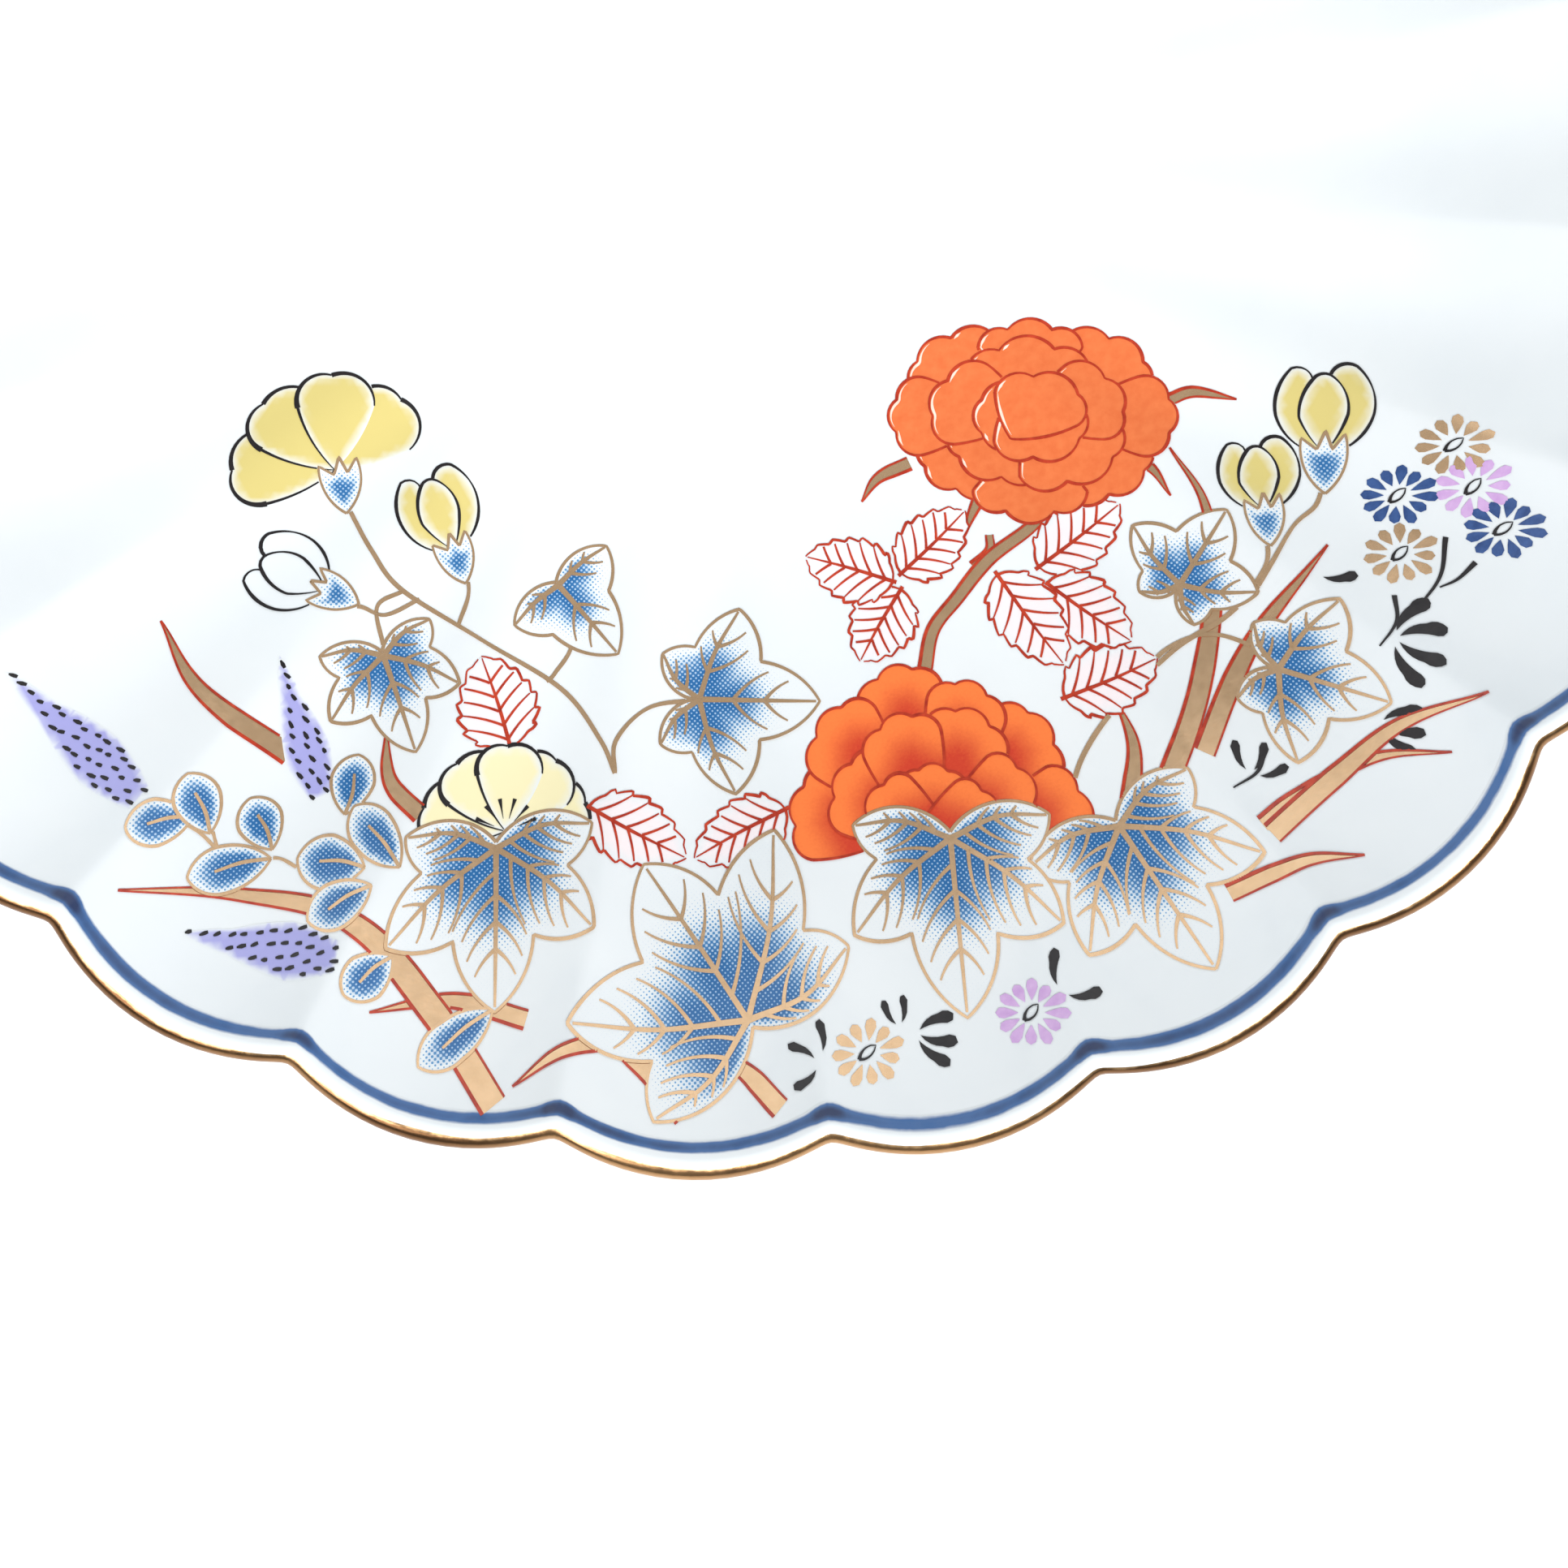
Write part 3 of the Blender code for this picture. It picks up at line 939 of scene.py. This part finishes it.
def grasses():
    """Gold blades edged with red, the nearest first."""
    for number, (points, width) in enumerate((
        ([(57, -39), (61, -46), (62, -56), (60, -68), (56, -79)], 3.0),
        ([(75, -51), (68, -60), (64, -67), (60, -76)], 2.8),
        ([(50, -70), (52, -76), (51, -84)], 2.4),
        ([(91, -68), (82, -72), (75, -78), (67, -85)], 2.8),
        ([(87, -75), (79, -76), (70, -81), (66, -84)], 2.0),
        ([(77, -87), (70, -88), (62, -92)], 2.2),
        ([(-66, -62), (-61, -70), (-50, -78)], 2.8),
        ([(-39, -75), (-38, -81), (-34, -85)], 2.4),
        ([(-67, -93), (-54, -94), (-41, -97), (-31, -107), (-23, -117)], 3.6),
        ([(-38, -107), (-29, -106), (-20, -108)], 2.4),
        ([(-21, -115), (-15, -111), (-7, -110)], 2.2),
        ([(-11, -110), (-5, -114), (-1, -118)], 3.2),
        ([(0, -113), (5, -113), (10, -117)], 2.8),
        ([(19, -46), (21, -43), (25, -41)], 1.9),
        ([(65, -33), (60, -32), (57, -33)], 1.6),
        ([(57, -45), (54, -41), (47, -39)], 2.0),
        ([(32, -50), (33, -47), (35, -43)], 1.9),
    )):
        blade("grass_%d" % (number + 1), points, width)


def spikes():
    """The three lavender spikes on the left."""
    spike("lavender_1", (-82, -68), (-66, -83), 6.4, 3)
    spike("lavender_2", (-52, -66), (-46, -83), 5.6, 5)
    spike("lavender_3", (-60, -98), (-42, -101), 6.6, 7)


def daisies():
    """The small daisies and the black brushwork among them."""
    for number, (centre, ink) in enumerate((
        ((89, -39), "gold"), ((83, -45), "navy"), ((91, -44), "mauve"), ((94, -49), "navy"),
        ((83, -52), "gold"), ((39, -106), "mauve"), ((20, -111), "gold"),
    )):
        daisy("daisy_%d" % (number + 1), centre, ink, tilt=10 + 6 * (number % 3), count=11 + number % 2)
    spray("spray_1", (81, -62), 352, 34, 4, 5.4)
    spray("spray_1", (73, -55), 5, 0, 1, 4)
    spray("spray_2", (79, -72), 350, 28, 3)
    spray("spray_3", (65, -79), 65, 44, 3, 3.6)
    spray("spray_4", (24, -109), 105, 34, 2, 3)
    spray("spray_4", (25, -109), 355, 28, 3)
    spray("spray_5", (42, -104), 50, 82, 2, 4)
    spray("spray_6", (15, -112), 160, 60, 3, 3.4)
    for points in ([(88, -50), (87, -55), (83, -60)], [(91, -53), (89, -55), (87, -56)],
                   [(82, -57), (82, -60), (80, -63)], [(67, -75), (66, -78), (63, -80)]):
        stroke("twigs", "black", curve(points), 0.6, (1.0, 0.6, 0.3))


RIM_LINE_IN = 2.05
RIM_LINE_ROWS = 9
RIM_LINE_STEPS = 44 * LOBES
RIM_LINE_HALF = 0.76


def hoop_faces(rows, count):
    """Faces between rings of points that lie one after another."""
    faces = []
    for near in range(0, (rows - 1) * count, count):
        far = near + count
        faces += [(near + i, far + i, far + (i + 1) % count, near + (i + 1) % count) for i in range(count)]
    return faces


def rim_line():
    """The cobalt line under the glaze, brushed lobe by lobe, dark where one stroke laps the next."""
    angles = np.linspace(-math.pi, math.pi, RIM_LINE_STEPS, endpoint=False)
    place = (angles + math.pi / 2.0) / (2.0 * HALF_LOBE)
    to_cusp = np.abs((place - 0.5) % 1.0)
    lap = smooth_step(0.085, 0.03, np.minimum(to_cusp, 1.0 - to_cusp))
    half = RIM_LINE_HALF + 0.08 * np.sin(5.0 * angles + 1.3) + 0.06 * np.sin(17.0 * angles) + 0.20 * lap
    dark = 0.84 + 0.12 * np.sin(11.0 * angles + 0.6) + 0.06 * np.sin(29.0 * angles) + 0.40 * lap
    edge = LIP_CENTRE_RADIUS / MM * (1.0 - lobe_dip(angles)) - RIM_LINE_IN + 0.12 * np.sin(9.0 * angles)
    rows = []
    tones = []
    for share in np.linspace(-1.0, 1.0, RIM_LINE_ROWS):
        radius = edge + share * half
        rows.append(np.stack([radius * np.cos(angles), radius * np.sin(angles)], axis=1))
        tones.append(dark * (1.0 - abs(share) ** 2.2))
    faces = hoop_faces(RIM_LINE_ROWS, RIM_LINE_STEPS)
    gather("rim_line", "cobalt", np.vstack(rows), FILM_LIFT, faces, lambda plan: np.concatenate(tones))


def painting():
    """Lay the whole spray, nearest motifs first, since each stops where a nearer one covers it."""
    leaves()
    flowers()
    small_leaves()
    spikes()
    red_leaves()
    stems()
    grasses()
    daisies()
    rim_line()


# ------------ the turned porcelain


def mesh_object(name, points, faces, material):
    """An object from points and faces, shaded smooth."""
    mesh = bpy.data.meshes.new(name)
    mesh.from_pydata([tuple(p) for p in points], [], faces)
    mesh.shade_smooth()
    mesh.materials.append(material)
    made = bpy.data.objects.new(name, mesh)
    bpy.context.scene.collection.objects.link(made)
    return made


def give_tone(made, tones):
    """Write each point's tone, which the inks read."""
    tone = made.data.attributes.new("tone", "FLOAT", "POINT")
    tone.data.foreach_set("value", np.clip(tones, 0.0, 1.2))


def turned_solid(name, rings, poles, material):
    """Skin rings of points between two poles, or else into a closed hoop."""
    count = len(rings[0])
    points = np.vstack(rings)
    faces = []
    pairs = len(rings) - 1 if poles else len(rings)
    for k in range(pairs):
        near = k * count
        far = (k + 1) % len(rings) * count
        faces += [(near + i, near + (i + 1) % count, far + (i + 1) % count, far + i) for i in range(count)]
    if poles:
        points = np.vstack([points, [(0.0, 0.0, poles[0])], [(0.0, 0.0, poles[1])]])
        first = len(points) - 2
        last = (len(rings) - 1) * count
        faces += [(first, (i + 1) % count, i) for i in range(count)]
        faces += [(first + 1, last + i, last + (i + 1) % count) for i in range(count)]
    made = mesh_object(name, points, faces, material)
    if poles:
        made.data.flip_normals()
    return made


def around(angle, radius, height):
    """A ring of points at angles round the bowl."""
    heights = np.broadcast_to(height, angle.shape)
    return np.stack([radius * np.cos(angle), radius * np.sin(angle), heights], axis=1)


def ring(face, *place):
    """One ring of points at a place on a face of the bowl."""
    angle = ring_angles()
    return around(angle, *face(*place, angle))


def porcelain_bowl():
    """The glazed body: inner face, rounded lip and outer face."""
    turns = [WALL_ANGLE + math.pi / 2.0 - math.pi * k / LIP_STEPS for k in range(1, LIP_STEPS)]
    rings = [ring(inner_face, k / INNER_STEPS) for k in range(1, INNER_STEPS + 1)]
    rings += [ring(lip_face, LIP_RADIUS, turn) for turn in turns]
    rings += [ring(outer_face, k / OUTER_STEPS) for k in range(OUTER_STEPS, 0, -1)]
    poles = (FLOOR_HEIGHT, FLOOR_HEIGHT - BASE_THICKNESS)
    bowl = turned_solid("porcelain_bowl", rings, poles, glaze("bowl_glaze"))
    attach(bowl, "root")
    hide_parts("bowl_body")


FOOT_WIDTH = 0.007
FOOT_FILLET = 0.0022
TREAD_ROUND = 0.0008
OUTER_MARGIN = 0.0015
INNER_MARGIN = 0.002


def quarter(steps):
    """Sine and cosine at even steps over a right angle."""
    turns = [math.radians(90.0 * step / (steps - 1)) for step in range(steps)]
    return [(math.sin(turn), math.cos(turn)) for turn in turns]


def turned_foot():
    """The foot, with a fillet of glaze where it meets the body and a ground tread."""
    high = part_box("foot_ring")[1]
    outer = high.x
    inner = outer - FOOT_WIDTH
    tread_outer = outer - OUTER_MARGIN
    tread_inner = inner + INNER_MARGIN
    profile = [(outer + FOOT_FILLET * (1.0 - sine), high.z + 0.0006 - FOOT_FILLET * (1.0 - cosine))
               for sine, cosine in quarter(7)]
    profile += [(tread_outer + 0.0003, 0.0018)]
    profile += [(tread_outer - TREAD_ROUND * (1.0 - cosine), TREAD_ROUND * (1.0 - sine))
                for sine, cosine in quarter(6)]
    profile += [(tread_inner + TREAD_ROUND * (1.0 - sine), TREAD_ROUND * (1.0 - cosine))
                for sine, cosine in quarter(6)]
    profile += [(inner + 0.0006, 0.006), (inner, 0.0105), (inner - 0.0012, 0.0128), (inner + 0.0010, 0.0150)]
    rings = [around(ring_angles(), radius, height) for radius, height in profile]
    foot = turned_solid("turned_foot", rings, None, foot_clay())
    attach(foot, "root")
    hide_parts("foot_ring")


GILT_ROWS = 9
GILT_LIFT = 0.00001
GILT_THICKNESS = 0.00004


def gilt_edge():
    """The gold on the lip: a brushed band whose borders waver a little."""
    angle = ring_angles()
    waver = 0.10 * np.sin(7.0 * angle + 0.4) + 0.07 * np.sin(23.0 * angle) + 0.05 * np.sin(61.0 * angle)
    start = math.radians(76.0) + math.radians(16.0) * (1.0 - np.cos(angle)) / 2.0 + waver
    end = math.radians(-42.0) + 0.8 * waver
    rows = []
    tones = []
    for share in np.linspace(0.0, 1.0, GILT_ROWS):
        thick = GILT_THICKNESS * math.sin(math.pi * share) ** 0.5
        turn = start + (end - start) * share
        rows.append(ring(lip_face, LIP_RADIUS + GILT_LIFT + thick, turn))
        # The tone is full at both borders of the band, where the gold's painted highlight shows, and nothing
        # along its crown.
        tones.append(np.full(len(angle), abs(2.0 * share - 1.0)))
    edge = mesh_object("gilt_edge", np.vstack(rows), hoop_faces(GILT_ROWS, len(angle)), lip_gold_painted_reflections())
    give_tone(edge, np.concatenate(tones))
    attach(edge, "root")
    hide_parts("gold_lip")


def enamel_pieces():
    """Turn the gathered films and lines into pieces."""
    for name, sheet in sheets.items():
        made = mesh_object(name, np.vstack(sheet["points"]), sheet["faces"], ink_material(sheet["ink"]))
        give_tone(made, np.concatenate(sheet["tones"]))
        made.data.normals_split_custom_set_from_vertices(np.vstack(sheet["normals"]).tolist())
        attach(made, "root")


# ------------ floor, light and camera


TABLE_HALF = 3.0
LAMP_SIZE = 0.9
LENS = 93.17
CAMERA_PLACE = (0.0123, -0.0583)
CAMERA_RISE = 0.4625
CAMERA_TURNS = (-2.61, 0.33, 0.75)


def floor():
    """A plain white table."""
    table = Shade("table", 0.6)
    table.colour(table.mix(table.noise(3.0), (0.93, 0.93, 0.93), (0.95, 0.95, 0.95)))
    corners = [(x * TABLE_HALF, y * TABLE_HALF, 0.0) for x, y in ((-1, -1), (1, -1), (1, 1), (-1, 1))]
    mesh_object("table", corners, [(0, 1, 2, 3)], table.material)


def area_light(name, place, target, power):
    """A soft square light that looks at a point."""
    data = bpy.data.lights.new(name, "AREA")
    data.shape = "SQUARE"
    data.size = LAMP_SIZE
    data.energy = power
    lamp = bpy.data.objects.new(name, data)
    lamp.location = place
    lamp.rotation_euler = (Vector(target) - Vector(place)).to_track_quat("-Z", "Y").to_euler()
    bpy.context.scene.collection.objects.link(lamp)


def lighting():
    """A room that brightens to a white sweep at the horizon, a broad key lamp and a weak fill."""
    world = bpy.data.worlds.new("room")
    world.use_nodes = True
    tree = world.node_tree
    back = tree.nodes["Background"]
    back.inputs["Color"].default_value = (0.95, 0.98, 1.0, 1.0)
    way = tree.nodes.new("ShaderNodeTexCoord")
    parts = tree.nodes.new("ShaderNodeSeparateXYZ")
    sweep = tree.nodes.new("ShaderNodeMapRange")
    for socket, number in zip(sweep.inputs[1:5], (0.13, 0.22, 1.25, 0.30)):
        socket.default_value = number
    tree.links.new(parts.inputs[0], way.outputs["Generated"])
    tree.links.new(sweep.inputs[0], parts.outputs[2])
    tree.links.new(back.inputs["Strength"], sweep.outputs[0])
    bpy.context.scene.world = world
    area_light("key", (0.50, -0.62, 1.85), (0.0, 0.0, 0.03), 45.0)
    area_light("fill", (-0.80, -1.05, 1.60), (0.05, 0.02, 0.05), 9.0)
    bpy.context.scene.view_settings.view_transform = "Standard"


def camera():
    """A long lens nearly overhead, closer to the decorated side."""
    data = bpy.data.cameras.new("camera")
    data.sensor_width = 36.0
    data.lens = LENS
    data.clip_start = 0.01
    eye = bpy.data.objects.new("camera", data)
    eye.location = (*CAMERA_PLACE, LIP_CENTRE_HEIGHT + CAMERA_RISE)
    eye.rotation_euler = [math.radians(turn) for turn in CAMERA_TURNS]
    bpy.context.scene.collection.objects.link(eye)
    bpy.context.scene.camera = eye


camera()
lighting()
floor()
porcelain_bowl()
turned_foot()
gilt_edge()
painting()
enamel_pieces()
